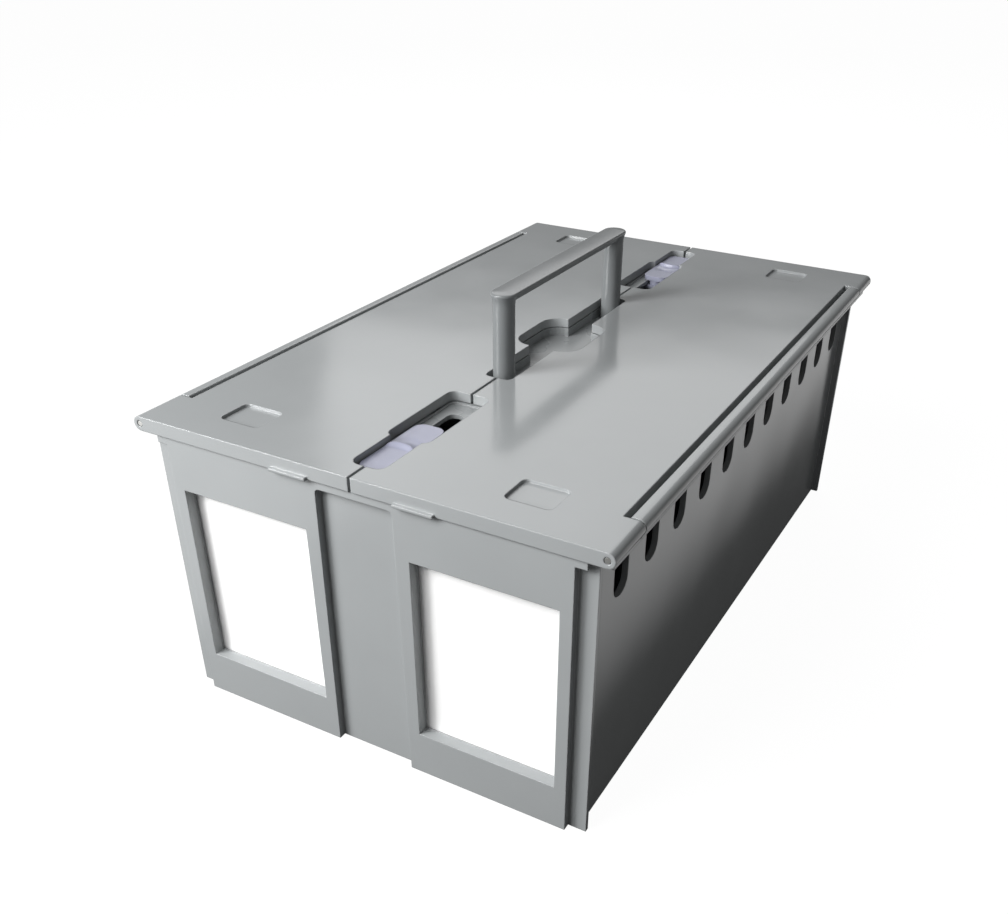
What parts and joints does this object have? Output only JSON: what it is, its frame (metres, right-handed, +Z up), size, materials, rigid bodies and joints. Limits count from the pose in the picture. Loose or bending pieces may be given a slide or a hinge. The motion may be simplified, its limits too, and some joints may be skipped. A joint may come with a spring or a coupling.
{
  "type": "graded card storage box",
  "caption": "Two-row plastic storage box for graded cards, with hinged lids, sliding latches, label windows and a rising carry handle.",
  "frame": {"origin": "centre of the underside, on the surface that the box stands on", "axes": "+Z up, +Y towards the back along the rows, +X to the right, front windows towards -Y"},
  "size_m": [0.2616, 0.4152, 0.209],
  "materials": {
    "grey_plastic": "satin moulded polypropylene",
    "milky_plastic": "satin milky polypropylene",
    "steel": "zinc plated",
    "label_card": "matt white"
  },
  "bodies": {
    "bin": {"bin_body": "grey_plastic", "spine_cover": "steel", "front_left_cover_screw": "steel", "front_right_cover_screw": "steel", "rear_left_cover_screw": "steel", "rear_right_cover_screw": "steel", "front_left_hinge_pin": "steel", "front_right_hinge_pin": "steel", "rear_left_hinge_pin": "steel", "rear_right_hinge_pin": "steel", "front_left_label_card": "label_card", "front_right_label_card": "label_card", "rear_left_label_card": "label_card", "rear_right_label_card": "label_card"},
    "left_lid": {"left_lid": "grey_plastic"},
    "right_lid": {"right_lid": "grey_plastic"},
    "handle": {"handle": "grey_plastic", "front_leg_stop": "grey_plastic", "rear_leg_stop": "grey_plastic", "front_leg_screw": "steel", "rear_leg_screw": "steel"},
    "front_latch": {"front_latch": "milky_plastic"},
    "rear_latch": {"rear_latch": "milky_plastic"}
  },
  "joints": [
    {"name": "left_lid_hinge", "type": "hinge", "parent": "bin", "child": "left_lid", "pos_m": [-0.127, 0, 0.1606], "axis": [0, -1, 0], "range_deg": [0, 180]},
    {"name": "right_lid_hinge", "type": "hinge", "parent": "bin", "child": "right_lid", "pos_m": [0.127, 0, 0.1606], "axis": [0, 1, 0], "range_deg": [0, 180]},
    {"name": "handle_slide", "type": "slide", "parent": "bin", "child": "handle", "axis": [0, 0, 1], "range_m": [-0.0446, 0]},
    {"name": "front_latch_slide", "type": "slide", "parent": "bin", "child": "front_latch", "axis": [0, 1, 0], "range_m": [0, 0.0235]},
    {"name": "rear_latch_slide", "type": "slide", "parent": "bin", "child": "rear_latch", "axis": [0, -1, 0], "range_m": [0, 0.0235]}
  ]
}
